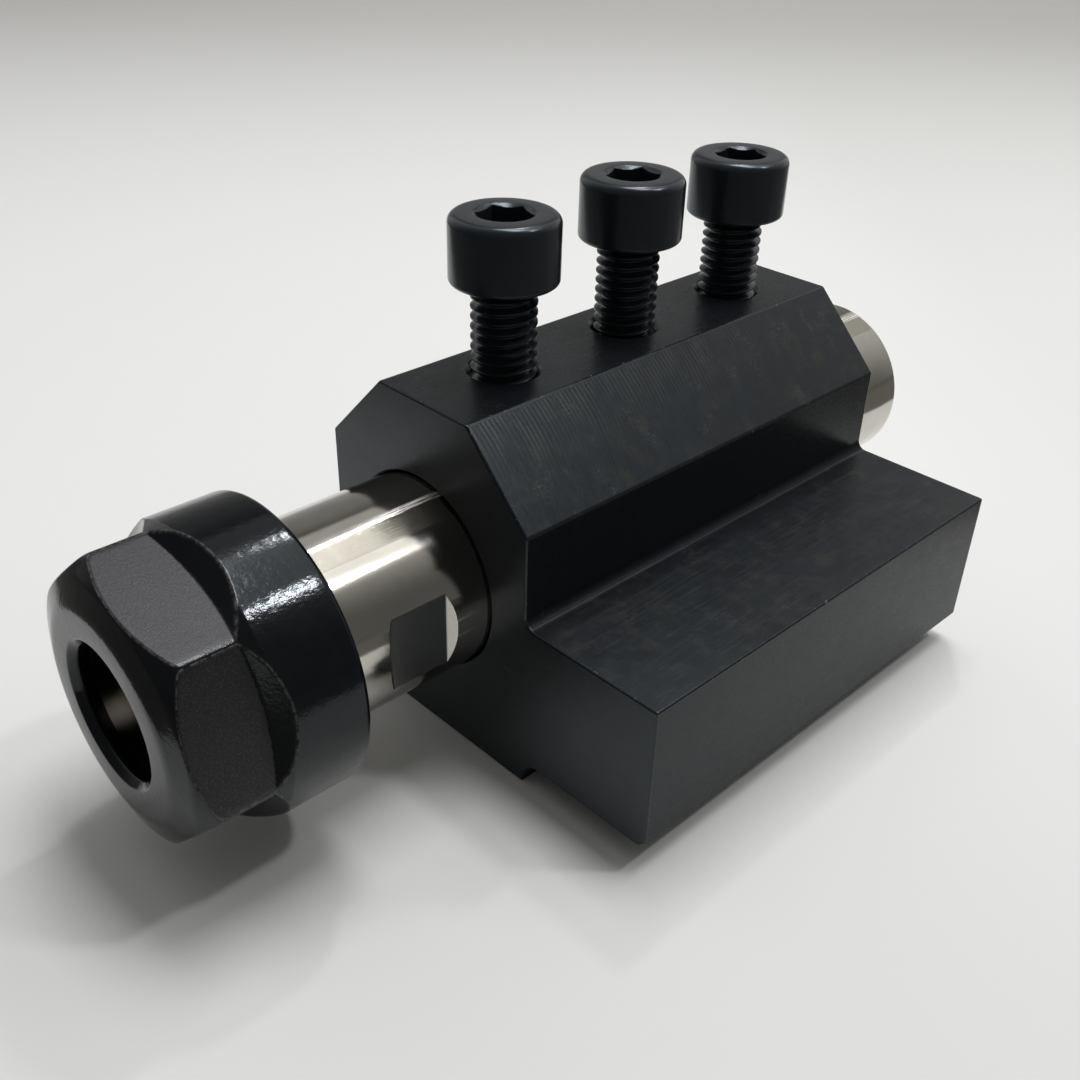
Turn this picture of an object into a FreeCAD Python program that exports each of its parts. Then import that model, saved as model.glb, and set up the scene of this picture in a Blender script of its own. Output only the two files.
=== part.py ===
import FreeCAD, Part
import Sketcher
import os

# Lathe tool holder: a bored block with a square clamping ledge, three clamp screws,
# and a straight-shank collet chuck with its hexagon nut held in the bore.
#
# Frame, in millimetres: the origin is the middle of the ledge's underside, the seat that
# lies on the tool post. +Z is up, +Y runs along the bore towards the rear, +X points from
# the bore towards the ledge.

Vector = FreeCAD.Vector
Rotation = FreeCAD.Rotation

SIZES = {
    # Block: the section is measured from the bore's axis
    "block_length": 67,
    "plain_side": 17,
    "ledge_side": 18.5,
    "axis_to_top": 22.8,
    "axis_to_base": 22.5,
    "corner_cut": 10,
    "ledge_width": 20,
    "ledge_height": 20,
    "axis_above_seat": 19,
    "root_radius": 1.3,
    "relief_radius": 3,
    "ledge_corner": 1,
    "edge_break": 0.4,
    "bore_lead": 0.6,
    # Clamp screws
    "screw_diameter": 8,
    "screw_length": 20,
    "screw_head_diameter": 13,
    "screw_head_height": 8,
    "head_round": 1,
    "tip_diameter": 5.5,
    "key_size": 6,
    "key_depth": 4.6,
    "key_mouth_diameter": 7.3,
    "key_mouth_slope": 30,
    "first_screw": 13.3,
    "screw_pitch": 21.1,
    "screw_clearance": 0.05,
    "hole_lead": 0.7,
    "tip_gap": 0.05,
    "front_screw_lift": 1.1,
    "middle_screw_lift": 1.8,
    "rear_screw_lift": 0.9,
    # Chuck body: its own lengths are measured from the nose
    "shank_diameter": 25,
    "shank_clearance": 0.05,
    "chuck_length": 120.5,
    "shank_end_cut": 1,
    "nose_thread_diameter": 24.8,
    "nose_cut": 0.8,
    "relief_width": 1.5,
    "relief_depth": 0.8,
    "socket_mouth": 21,
    "socket_depth": 31,
    "socket_angle": 8,
    "through_bore": 12,
    "through_bore_lead": 0.8,
    "clamp_flat_width": 3,
    "clamp_flat_turn": 24.7,
    "wrench_flat_depth": 0.95,
    "wrench_flat_start": 19.8,
    "wrench_flat_length": 7.7,
    # Clamping nut: its own lengths are measured from its back face
    "nut_gap": 20.8,
    "nut_length": 20.5,
    "nut_diameter": 35.3,
    "nut_turn": 16,
    "hexagon_size": 30,
    "ridge_drop": 0.45,
    "skirt_length": 9.8,
    "skirt_slope": 1.6,
    "flat_back": 10.6,
    "flat_shoulder_angle": 35,
    "cutter_diameter": 80,
    "nose_cone_length": 2.7,
    "nut_shoulder_diameter": 30,
    "nut_face_drop": 1,
    "nut_face_diameter": 24,
    "nut_back_round": 0.8,
    "nut_opening": 15.6,
    "opening_cut": 0.8,
    "opening_land": 0.5,
    "extractor_groove_diameter": 21,
    "extractor_groove_width": 1.2,
    "thread_engaged": 12.5,
    "thread_clearance": 0.05,
    "nose_gap": 0.8,
    "nut_counterbore": 1.2,
    "counterbore_clearance": 0.7,
}

# Each clamp screw: its label, how its key socket is turned, and how far it is backed off the shank
SCREWS = (
    ("clamp_screw_front", 12, "Size.front_screw_lift"),
    ("clamp_screw_middle", 25, "Size.middle_screw_lift"),
    ("clamp_screw_rear", 5, "Size.rear_screw_lift"),
)
# How far a cutter runs past the metal that it takes away, in millimetres
OVERRUN = 1

# The bore's axis at the block's front face, where every sub-part is placed from
AXIS_X = "-(Size.ledge_side + Size.ledge_width / 2)"
FRONT_Y = "-Size.block_length / 2"
AXIS_Z = "Size.axis_above_seat"

doc = FreeCAD.newDocument("ToolHolder")


def make_sheet():
    """The driving dimensions, one row each with its name beside it."""
    sheet = doc.addObject("Spreadsheet::Sheet", "Size")
    for row, (name, size) in enumerate(SIZES.items(), start=1):
        sheet.set(f"A{row}", name)
        sheet.set(f"B{row}", str(size))
        sheet.setAlias(f"B{row}", name)
    doc.recompute()
    return sheet


size_sheet = make_sheet()


def value(expression):
    """What an expression on the sheet's names comes to, as a plain number."""
    result = size_sheet.evalExpression(expression)
    return float(getattr(result, "Value", result))


def origin_feature(body, role):
    """One of the body's own origin planes or axes, by its role."""
    return next(item for item in body.Origin.OriginFeatures if item.Role == role)


def new_body(label, base, turn=None):
    """A body with its own label, placed from the sheet; turn is (axis, angle expression)."""
    body = doc.addObject("PartDesign::Body", label)
    body.Label = label
    for name, expression in zip("xyz", base):
        body.setExpression(f"Placement.Base.{name}", expression)
    if turn:
        axis, angle = turn
        body.Placement = FreeCAD.Placement(Vector(), Rotation(axis, value(angle)))
        body.setExpression("Placement.Rotation.Angle", angle)
    return body


def new_sketch(body, name, role, offset=None):
    """A sketch on one of the body's origin planes; offset maps Placement fields to expressions."""
    sketch = body.newObject("Sketcher::SketchObject", name)
    sketch.AttachmentSupport = [(origin_feature(body, role), "")]
    sketch.MapMode = "FlatFace"
    for field, expression in (offset or {}).items():
        sketch.setExpression(f"AttachmentOffset.{field}", expression)
    return sketch


def hold(sketch, geometry, point, coordinates):
    """Ties one point of the sketch to the sheet, each coordinate from the sketch's origin."""
    root, x_axis, y_axis = (-1, 1), -1, -2
    for kind, axis, expression in zip(("DistanceX", "DistanceY"), (y_axis, x_axis), coordinates):
        size = value(expression)
        if abs(size) < 1e-9:
            sketch.addConstraint(Sketcher.Constraint("PointOnObject", geometry, point, axis))
        elif size > 0:
            index = sketch.addConstraint(Sketcher.Constraint(kind, *root, geometry, point, size))
            sketch.setExpression(f"Constraints[{index}]", expression)
        else:
            index = sketch.addConstraint(Sketcher.Constraint(kind, geometry, point, *root, -size))
            sketch.setExpression(f"Constraints[{index}]", f"-({expression})")


def outline(body, name, role, points, offset=None):
    """A closed outline of straight lines through points given as pairs of expressions."""
    sketch = new_sketch(body, name, role, offset)
    corners = [Vector(value(x), value(y), 0) for x, y in points]
    ends = corners[1:] + corners[:1]
    sketch.addGeometry([Part.LineSegment(a, b) for a, b in zip(corners, ends)], False)
    count = len(corners)
    for index in range(count):
        sketch.addConstraint(Sketcher.Constraint("Coincident", index, 2, (index + 1) % count, 1))
    for index, point in enumerate(points):
        hold(sketch, index, 1, point)
    return sketch


def disc(body, name, role, centre, radius, offset=None):
    """A sketch of one circle; centre and radius are expressions."""
    sketch = new_sketch(body, name, role, offset)
    middle = Vector(value(centre[0]), value(centre[1]), 0)
    sketch.addGeometry(Part.Circle(middle, Vector(0, 0, 1), value(radius)), False)
    index = sketch.addConstraint(Sketcher.Constraint("Radius", 0, value(radius)))
    sketch.setExpression(f"Constraints[{index}]", radius)
    hold(sketch, 0, 3, centre)
    return sketch


def rounded(radius, end, size):
    """Three profile points for the rounded rim at a wall's upper end, drawn as two cones."""
    inset = f"{size} * (1 - cos(45))"
    return [
        (radius, f"{end} - {size}"),
        (f"{radius} - {inset}", f"{end} - {inset}"),
        (f"{radius} - {size}", end),
    ]


def pad(body, name, sketch, length, reverse=False):
    feature = body.newObject("PartDesign::Pad", name)
    feature.Profile = sketch
    feature.setExpression("Length", length)
    feature.Reversed = reverse
    doc.recompute()
    return feature


def pocket(body, name, sketch, length, reverse=False, both_sides=False):
    """Cuts the sketch's outline; stops the build if it took nothing away."""
    before = body.Shape.Volume
    feature = body.newObject("PartDesign::Pocket", name)
    feature.Profile = sketch
    feature.setExpression("Length", length)
    feature.Reversed = reverse
    if both_sides:
        feature.SideType = "Symmetric"
    doc.recompute()
    must_cut(body, name, before)
    return feature


def turned(body, kind, name, sketch, axis):
    """A Revolution or Groove of a full turn about an axis given as (object, [name])."""
    feature = body.newObject(f"PartDesign::{kind}", name)
    feature.Profile = sketch
    feature.ReferenceAxis = axis
    feature.Angle = 360
    doc.recompute()
    return feature


def dress(body, kind, name, size_name, size, chosen):
    """A Fillet or Chamfer on the edges of the body that the chosen test picks."""
    base = body.Tip
    names = [f"Edge{n}" for n, edge in enumerate(base.Shape.Edges, start=1) if chosen(edge)]
    if not names:
        raise RuntimeError(f"{body.Label}: {name} found no edges")
    feature = body.newObject(f"PartDesign::{kind}", name)
    feature.Base = (base, names)
    feature.setExpression(size_name, size)
    doc.recompute()
    return feature


def must_cut(body, name, before):
    if body.Shape.Volume > before - 1e-3:
        raise RuntimeError(f"{body.Label}: {name} cut nothing")


def near(a, b):
    return abs(a - b) < 1e-4


def is_circle(edge, radius):
    return isinstance(edge.Curve, Part.Circle) and near(edge.Curve.Radius, radius)


def make_holder_body():
    """The block: an extruded section, bored along its length and drilled from the top."""
    body = new_body("holder_body", (AXIS_X, FRONT_Y, AXIS_Z))
    seat = "-Size.axis_above_seat"
    ledge_top = "Size.ledge_height - Size.axis_above_seat"
    ledge_face = "Size.ledge_side + Size.ledge_width"
    cut_z = "Size.axis_to_top - Size.corner_cut"
    section = outline(body, "Section", "XZ_Plane", [
        ("-Size.plain_side", "-Size.axis_to_base"),
        ("Size.ledge_side", "-Size.axis_to_base"),
        ("Size.ledge_side", seat),
        (ledge_face, seat),
        (ledge_face, ledge_top),
        ("Size.ledge_side", ledge_top),
        ("Size.ledge_side", cut_z),
        ("Size.ledge_side - Size.corner_cut", "Size.axis_to_top"),
        ("Size.corner_cut - Size.plain_side", "Size.axis_to_top"),
        ("-Size.plain_side", cut_z),
    ])
    pad(body, "Bar", section, "Size.block_length", reverse=True)

    def along_at(x, z):
        """Picks the long edge at one corner of the section."""
        def chosen(edge):
            box = edge.BoundBox
            return box.YLength > 1 and near(box.XMin, value(x)) and near(box.ZMin, value(z))
        return chosen

    dress(body, "Fillet", "LedgeRoot", "Radius", "Size.root_radius",
          along_at("Size.ledge_side", ledge_top))
    dress(body, "Fillet", "SeatRelief", "Radius", "Size.relief_radius",
          along_at("Size.ledge_side", seat))
    dress(body, "Chamfer", "LedgeCorner", "Size", "Size.ledge_corner", along_at(ledge_face, seat))

    length = value("Size.block_length")
    sharp_corners = [along_at(x, z) for x, z in (
        ("-Size.plain_side", "-Size.axis_to_base"),
        ("Size.ledge_side", "-Size.axis_to_base"),
        (ledge_face, ledge_top),
        ("Size.ledge_side", cut_z),
        ("Size.ledge_side - Size.corner_cut", "Size.axis_to_top"),
        ("Size.corner_cut - Size.plain_side", "Size.axis_to_top"),
        ("-Size.plain_side", cut_z),
    )]

    def outer(edge):
        box = edge.BoundBox
        on_end = box.YLength < 1e-4 and (near(box.YMin, 0) or near(box.YMin, length))
        return on_end or any(chosen(edge) for chosen in sharp_corners)

    dress(body, "Chamfer", "EdgeBreak", "Size", "Size.edge_break", outer)

    bore_radius = "Size.shank_diameter / 2 + Size.shank_clearance"
    bore = disc(body, "BoreCircle", "XZ_Plane", ("0", "0"), bore_radius)
    pocket(body, "Bore", bore, "2.2 * Size.block_length", both_sides=True)
    dress(body, "Chamfer", "BoreLead", "Size", "Size.bore_lead",
          lambda edge: is_circle(edge, value(bore_radius)))

    before = body.Shape.Volume
    start = disc(body, "ScrewHoleCircle", "XY_Plane", ("0", "Size.first_screw"),
                 "Size.screw_diameter / 2 + Size.screw_clearance",
                 {"Base.z": "Size.axis_to_top"})
    doc.recompute()
    hole = body.newObject("PartDesign::Hole", "ScrewHole")
    hole.Profile = start
    doc.recompute()
    hole.ThreadType = "None"
    hole.DepthType = "Dimension"
    hole.DrillPoint = "Flat"
    hole.HoleCutType = "Countersink"
    hole.HoleCutCustomValues = True
    hole.HoleCutCountersinkAngle = 90
    hole.setExpression("Diameter", "Size.screw_diameter + 2 * Size.screw_clearance")
    hole.setExpression("HoleCutDiameter",
                       "Size.screw_diameter + 2 * Size.screw_clearance + 2 * Size.hole_lead")
    hole.setExpression("Depth", "Size.axis_to_top - Size.shank_diameter / 4")
    doc.recompute()
    row = body.newObject("PartDesign::LinearPattern", "ScrewHoleRow")
    row.Originals = [hole]
    row.Direction = (origin_feature(body, "Y_Axis"), [""])
    row.Occurrences = len(SCREWS)
    row.setExpression("Length", f"Size.screw_pitch * {len(SCREWS) - 1}")
    body.Tip = row
    doc.recompute()
    must_cut(body, "ScrewHole", before)
    return body


def make_clamp_screw(number, label, turn, lift):
    """A hexagon socket cap screw, backed off the shank by its lift; the thread is left plain."""
    base = (AXIS_X, f"{FRONT_Y} + Size.first_screw + {number} * Size.screw_pitch",
            f"{AXIS_Z} + Size.shank_diameter / 2 + Size.tip_gap + {lift}")
    body = new_body(label, base, (Vector(0, 0, 1), str(turn)))
    thread = "Size.screw_diameter / 2"
    tip = "Size.tip_diameter / 2"
    head = "Size.screw_head_diameter / 2"
    top = "Size.screw_length + Size.screw_head_height"
    mouth = "Size.key_mouth_diameter / 2"
    profile = outline(body, "Profile", "XZ_Plane", [
        ("0", "0"),
        (tip, "0"),
        (thread, f"{thread} - {tip}"),
        (thread, "Size.screw_length"),
        (head, "Size.screw_length"),
        *rounded(head, top, "Size.head_round"),
        (mouth, top),
        ("0", f"{top} - {mouth} * tan(Size.key_mouth_slope)"),
    ])
    turned(body, "Revolution", "Turned", profile, (origin_feature(body, "Z_Axis"), [""]))
    corners = [(f"Size.key_size / sqrt(3) * cos({60 * k})", f"Size.key_size / sqrt(3) * sin({60 * k})")
               for k in range(6)]
    socket = outline(body, "KeyOutline", "XY_Plane", corners, {"Base.z": top})
    pocket(body, "KeySocket", socket, "Size.key_depth")
    return body


def make_chuck_body():
    """The collet chuck: a turned shank with a taper socket in its nose."""
    base = (AXIS_X, f"{FRONT_Y} - Size.nut_gap - Size.thread_engaged", AXIS_Z)
    body = new_body("chuck_body", base)
    shank = "Size.shank_diameter / 2"
    thread = "Size.nose_thread_diameter / 2"
    bore = "Size.through_bore / 2"
    mouth = "Size.socket_mouth / 2"
    thread_end = "Size.thread_engaged - Size.nut_counterbore / 2"
    profile = outline(body, "Profile", "XY_Plane", [
        (mouth, "0"),
        (f"{thread} - Size.nose_cut", "0"),
        (thread, "Size.nose_cut"),
        (thread, f"{thread_end} - Size.relief_width"),
        (f"{thread} - Size.relief_depth", f"{thread_end} - Size.relief_width"),
        (f"{thread} - Size.relief_depth", thread_end),
        (shank, thread_end),
        (shank, "Size.chuck_length - Size.shank_end_cut"),
        (f"{shank} - Size.shank_end_cut", "Size.chuck_length"),
        (f"{bore} + Size.through_bore_lead", "Size.chuck_length"),
        (bore, "Size.chuck_length - Size.through_bore_lead"),
        (bore, "Size.socket_depth"),
        (f"{mouth} - Size.socket_depth * tan(Size.socket_angle)", "Size.socket_depth"),
    ])
    turned(body, "Revolution", "Turned", profile, (origin_feature(body, "Y_Axis"), [""]))

    half_width = "Size.clamp_flat_width / 2"
    depth = f"sqrt(({shank})^2 - ({half_width})^2)"
    strip = outline(body, "ClampFlatOutline", "XY_Plane", [
        (f"-{half_width} - {OVERRUN}", thread_end),
        (f"{half_width} + {OVERRUN}", thread_end),
        (f"{half_width} + {OVERRUN}", f"Size.chuck_length + {OVERRUN}"),
        (f"-{half_width} - {OVERRUN}", f"Size.chuck_length + {OVERRUN}"),
    ])
    strip.AttachmentOffset = FreeCAD.Placement(
        Vector(), Rotation(Vector(0, 1, 0), value("Size.clamp_flat_turn")))
    strip.setExpression("AttachmentOffset.Rotation.Angle", "Size.clamp_flat_turn")
    strip.setExpression("AttachmentOffset.Base.x", f"{depth} * sin(Size.clamp_flat_turn)")
    strip.setExpression("AttachmentOffset.Base.z", f"{depth} * cos(Size.clamp_flat_turn)")
    pocket(body, "ClampFlat", strip, f"{OVERRUN}", reverse=True)

    flat = f"({shank} - Size.wrench_flat_depth)"
    start = "Size.wrench_flat_start"
    end = f"{start} + Size.wrench_flat_length"
    rise = f"(Size.wrench_flat_depth + {OVERRUN})"
    slot = outline(body, "WrenchFlatOutline", "XY_Plane", [
        (flat, start),
        (f"{flat} + {rise}", f"{start} - {rise}"),
        (f"{flat} + {rise}", f"{end} + {rise}"),
        (flat, end),
    ])
    flat_cut = pocket(body, "WrenchFlat", slot, "Size.shank_diameter", both_sides=True)
    other_side = body.newObject("PartDesign::Mirrored", "OtherWrenchFlat")
    other_side.Originals = [flat_cut]
    other_side.MirrorPlane = (origin_feature(body, "YZ_Plane"), [""])
    body.Tip = other_side
    doc.recompute()
    return body


def make_clamping_nut():
    """The nut: a turned skirt and cone, with six flats that end in a slanting shoulder."""
    base = (AXIS_X, f"{FRONT_Y} - Size.nut_gap", AXIS_Z)
    body = new_body("clamping_nut", base, (Vector(0, 1, 0), "Size.nut_turn"))
    skirt = "Size.nut_diameter / 2"
    ridge = "Size.nut_diameter / 2 - Size.ridge_drop"
    face = "Size.nut_face_diameter / 2"
    shoulder = "Size.nut_shoulder_diameter / 2"
    opening = "Size.nut_opening / 2"
    groove = "Size.extractor_groove_diameter / 2"
    thread = "Size.nose_thread_diameter / 2 + Size.thread_clearance"
    back_bore = "Size.shank_diameter / 2 + Size.counterbore_clearance"
    front = "-Size.nut_length"
    groove_start = "-(Size.thread_engaged + Size.nose_gap)"
    cone_end = f"{front} + Size.opening_cut + Size.opening_land"
    cone_start = f"{groove_start} - Size.extractor_groove_width"
    profile = outline(body, "Profile", "XY_Plane", [
        (back_bore, "0"),
        *reversed(rounded(skirt, "0", "Size.nut_back_round")),
        (skirt, "-Size.skirt_length"),
        (ridge, "-Size.skirt_length - Size.skirt_slope"),
        (ridge, f"{front} + Size.nose_cone_length"),
        (shoulder, f"{front} + Size.nut_face_drop"),
        (face, front),
        (f"{opening} + Size.opening_cut", front),
        (opening, f"{front} + Size.opening_cut"),
        (opening, cone_end),
        (groove, cone_start),
        (groove, groove_start),
        (thread, groove_start),
        (thread, "-Size.nut_counterbore"),
        (back_bore, "-Size.nut_counterbore"),
    ])
    turned(body, "Revolution", "Turned", profile, (origin_feature(body, "Y_Axis"), [""]))

    before = body.Shape.Volume
    flat = "Size.hexagon_size / 2"
    cutter = "Size.cutter_diameter / 2"
    rise = f"({skirt} - {flat} + {OVERRUN})"
    sweep = outline(body, "CutterProfile", "YZ_Plane", [
        ("0", flat),
        (cutter, flat),
        (f"{cutter} + {rise} * tan(Size.flat_shoulder_angle)", f"{flat} + {rise}"),
        ("0", f"{flat} + {rise}"),
    ], {"Base.x": f"-Size.flat_back - {cutter}"})
    flat_cut = turned(body, "Groove", "Flat", sweep, (sweep, ["V_Axis"]))
    must_cut(body, "Flat", before)
    ring = body.newObject("PartDesign::PolarPattern", "SixFlats")
    ring.Originals = [flat_cut]
    ring.Axis = (origin_feature(body, "Y_Axis"), [""])
    ring.Angle = 360
    ring.Occurrences = 6
    body.Tip = ring
    doc.recompute()
    return body


def check_and_export(bodies):
    """Refuses a failed feature or a bad shape, then writes one file per sub-part."""
    doc.recompute()
    for item in doc.Objects:
        if any(word in item.State for word in ("Invalid", "Error")):
            raise RuntimeError(f"{item.Label} failed: {item.State}")
    for body in bodies:
        if body.Shape.isNull() or not body.Shape.isValid() or len(body.Shape.Solids) != 1:
            raise RuntimeError(f"{body.Label}: no single valid solid")
    os.makedirs("parts", exist_ok=True)
    for body in bodies:
        body.Shape.exportStep(f"parts/{body.Label}.step")
        print(f"{body.Label}: {body.Shape.Volume:.1f} mm3")


sub_parts = [make_holder_body(), make_chuck_body(), make_clamping_nut()]
sub_parts += [make_clamp_screw(number, *screw) for number, screw in enumerate(SCREWS)]
check_and_export(sub_parts)
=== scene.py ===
import math

import bmesh
import bpy
import numpy as np
from mathutils import Matrix, Vector


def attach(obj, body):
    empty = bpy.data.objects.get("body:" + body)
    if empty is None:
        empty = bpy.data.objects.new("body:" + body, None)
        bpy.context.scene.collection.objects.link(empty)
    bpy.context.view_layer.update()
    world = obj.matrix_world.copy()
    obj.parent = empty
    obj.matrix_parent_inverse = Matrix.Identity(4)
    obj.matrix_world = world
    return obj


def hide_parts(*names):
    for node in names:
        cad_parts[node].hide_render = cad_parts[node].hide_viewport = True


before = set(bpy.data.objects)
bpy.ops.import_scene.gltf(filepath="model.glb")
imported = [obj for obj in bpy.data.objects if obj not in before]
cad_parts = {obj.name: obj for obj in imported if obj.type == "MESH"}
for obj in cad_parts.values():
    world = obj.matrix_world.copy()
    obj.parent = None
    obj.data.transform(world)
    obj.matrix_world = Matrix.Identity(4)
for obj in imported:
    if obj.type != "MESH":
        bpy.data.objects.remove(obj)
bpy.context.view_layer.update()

# Lengths are in millimetres in the row frame: the origin is the middle of the ledge's underside,
# +Z up, +Y along the bore to the rear, +X from the bore to the ledge.
MM = 0.001

BLOCK_LENGTH, BLOCK_FRONT = 67.0, -33.5
AXIS_X, AXIS_Z = -28.5, 19.0
PLAIN_SIDE, LEDGE_SIDE, TO_TOP, TO_BASE = 17.0, 18.5, 22.8, 22.5
CORNER_CUT, LEDGE_WIDTH, LEDGE_HEIGHT = 10.0, 20.0, 20.0
ROOT_RADIUS, RELIEF_RADIUS, LEDGE_CORNER, EDGE_BREAK = 1.3, 3.0, 1.0, 0.4
BORE_RADIUS, BORE_LEAD = 12.55, 0.35

SCREW_Y = (-20.2, 0.9, 22.0)
SCREW_NAMES = ("front", "middle", "rear")
SCREW_TURNS = (12, 25, 5)
SCREW_TIP_Z = (32.65, 33.35, 32.45)
SCREW_LENGTH, HEAD_RADIUS, HEAD_HEIGHT = 20.0, 6.5, 8.0
PITCH, CREST_RADIUS, ROOT_THREAD_RADIUS, TIP_RADIUS = 1.25, 3.98, 3.22, 2.75
NECK_START, NECK_RADIUS = 19.2, 3.5
KEY_SIZE, KEY_DEPTH, KEY_MOUTH_RADIUS, KEY_MOUTH_SLOPE = 6.0, 4.6, 3.65, 30.0
SCREW_HOLE_RADIUS, HOLE_LEAD = 4.05, 0.6

NUT_BACK, NUT_LENGTH = -54.3, 20.5
NUT_RADIUS, RIDGE_RADIUS, FLAT_HEIGHT = 17.65, 17.2, 15.0
SKIRT_LENGTH, SKIRT_SLOPE, FLAT_BACK = 9.8, 1.6, 10.6
CUTTER_RADIUS, SHOULDER_ANGLE, FLAT_PHASE = 40.0, 35.0, 74.0
NOSE_CONE, NUT_SHOULDER, FACE_DROP, FACE_RADIUS = 2.7, 15.0, 1.0, 12.0
OPENING_RADIUS, OPENING_CUT, OPENING_LAND, GROOVE_RADIUS = 7.8, 0.8, 0.5, 10.5
NUT_CONE_ANGLE, THREAD_BORE, COUNTERBORE, COUNTERBORE_DEPTH = 30.0, 12.45, 13.2, 1.2

NOSE_Y, CHUCK_LENGTH, SHANK_RADIUS = -66.8, 120.5, 12.5
NOSE_THREAD_RADIUS, THREAD_END = 12.4, 11.9
SOCKET_MOUTH, SOCKET_DEPTH, SOCKET_ANGLE, THROUGH_RADIUS = 10.5, 31.0, 8.0, 6.0
CLAMP_FLAT_ANGLE, CLAMP_FLAT_HALF = 65.3, 1.5
WRENCH_HEIGHT, WRENCH_START, WRENCH_LENGTH = 11.55, 19.8, 7.7

FLOOR_Z = -3.5

# How finely the turned pieces are divided round, and the nut's rows along its profile
CHUCK_COLUMNS, NUT_COLUMNS, SCREW_COLUMNS = 480, 840, 96
FINE_ROW, SKIRT_ROW, INSIDE_ROW = 0.13, 0.9, 1.5
# The nut's skin outside this radius meets the flats, and from here on back its rows may be coarse
FLATS_OUTSIDE, CRESCENT_REACH = 14.2, 1.8
GROOVE_START = -13.3
# Radius of a limit that cuts nothing
NO_LIMIT = 99.0


# Shapes


def softened(corners, turn=12.0):
    """Profile points from (radius, along, rounding) corners, each rounded corner as an arc."""
    points = []
    count = len(corners)
    for index, (r, a, size) in enumerate(corners):
        here = np.array((r, a), float)
        before = np.array(corners[index - 1][:2], float) - here
        after = np.array(corners[(index + 1) % count][:2], float) - here
        reach_before, reach_after = np.linalg.norm(before), np.linalg.norm(after)
        if size <= 0 or reach_before < 1e-6 or reach_after < 1e-6:
            points.append(here)
            continue
        before, after = before / reach_before, after / reach_after
        angle = math.acos(max(-1.0, min(1.0, float(before @ after))))
        bend = math.pi - angle
        if bend < 1e-3:
            points.append(here)
            continue
        tangent = min(size * math.tan(bend / 2), 0.49 * reach_before, 0.49 * reach_after)
        radius = tangent / math.tan(bend / 2)
        centre = here + (before + after) / np.linalg.norm(before + after) * radius / math.cos(bend / 2)
        start, end = here + before * tangent - centre, here + after * tangent - centre
        steps = max(2, math.ceil(math.degrees(bend) / turn))
        sweep = math.atan2(start[0] * end[1] - start[1] * end[0], start @ end)
        for step in range(steps + 1):
            c, s = math.cos(sweep * step / steps), math.sin(sweep * step / steps)
            points.append(centre + np.array((c * start[0] - s * start[1], s * start[0] + c * start[1])))
    return np.array(points)


def divided(points, longest):
    """The closed profile with extra points: no step is over longest((radius, along)) of its line."""
    result = []
    for index in range(len(points)):
        a, b = points[index], points[(index + 1) % len(points)]
        steps = max(1, math.ceil(np.linalg.norm(b - a) / longest((a + b) / 2)))
        result.extend(a + (b - a) * step / steps for step in range(steps))
    return np.array(result)


def smooth_min(a, b, size):
    blend = np.maximum(size - np.abs(a - b), 0) / size
    return np.minimum(a, b) - blend * blend * size / 4


def smooth_max(a, b, size):
    return -smooth_min(-a, -b, size)


def new_mesh(name, points, faces, kinds=None, keep_flat=30.0, edge_marks=None):
    """A mesh object from millimetre points, smooth but for edges sharper than keep_flat degrees."""
    mesh = bpy.data.meshes.new(name)
    mesh.from_pydata([tuple(p * MM for p in point) for point in points], [], faces)
    if kinds is not None:
        mesh.polygons.foreach_set("material_index", kinds)
    if edge_marks is not None:
        mesh.attributes.new("edge_wear_and_highlight", "FLOAT", "POINT").data.foreach_set("value", edge_marks)
    build = bmesh.new()
    build.from_mesh(mesh)
    bmesh.ops.remove_doubles(build, verts=build.verts, dist=1e-7)
    bmesh.ops.dissolve_degenerate(build, edges=build.edges, dist=1e-8)
    bmesh.ops.recalc_face_normals(build, faces=build.faces)
    build.to_mesh(mesh)
    build.free()
    mesh.polygons.foreach_set("use_smooth", [True] * len(mesh.polygons))
    mesh.set_sharp_from_angle(angle=math.radians(keep_flat))
    mesh.update()
    obj = bpy.data.objects.new(name, mesh)
    bpy.context.scene.collection.objects.link(obj)
    return obj


def grid_faces(rows, columns):
    """Quads of a grid that wraps round in its columns and in its rows."""
    index = np.arange(rows * columns).reshape(rows, columns)
    turned_index = np.roll(index, -1, axis=1)
    up, up_turned = np.roll(index, -1, axis=0), np.roll(turned_index, -1, axis=0)
    return np.stack([index, turned_index, up_turned, up], axis=-1).reshape(-1, 4)


def turned_along_y(name, base_y, profile, columns, shape=None, kind=None, keep_flat=30.0, edge_wear_and_highlight=None):
    """A turned piece about the bore's axis. shape(radius, along, angle) may lower the radius."""
    radius, angle = np.meshgrid(profile[:, 0], np.arange(columns) * 2 * np.pi / columns, indexing="ij")
    along = np.repeat(profile[:, 1][:, None], columns, axis=1)
    cut = shape(radius, along, angle) if shape else radius
    points = np.stack([AXIS_X + cut * np.cos(angle), base_y + along, AXIS_Z + cut * np.sin(angle)], -1)
    faces = grid_faces(len(profile), columns)
    kinds = None
    if kind:
        value = kind(radius, along, angle, cut).reshape(-1)
        kinds = value[faces].min(axis=1).astype(int).tolist()
    edge_marks = edge_wear_and_highlight(radius, along, angle).reshape(-1) if edge_wear_and_highlight else None
    return new_mesh(name, points.reshape(-1, 3).tolist(), faces.tolist(), kinds, keep_flat, edge_marks)


def apply_modifiers(obj):
    """Gives the object the mesh that its modifiers make, and takes the modifiers off."""
    graph = bpy.context.evaluated_depsgraph_get()
    mesh = bpy.data.meshes.new_from_object(obj.evaluated_get(graph), depsgraph=graph)
    obj.modifiers.clear()
    old, obj.data = obj.data, mesh
    bpy.data.meshes.remove(old)


def cut_away(obj, cutter):
    boolean = obj.modifiers.new("Cut", "BOOLEAN")
    boolean.operation = "DIFFERENCE"
    boolean.solver = "EXACT"
    boolean.object = cutter
    apply_modifiers(obj)
    bpy.data.objects.remove(cutter, do_unlink=True)


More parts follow.
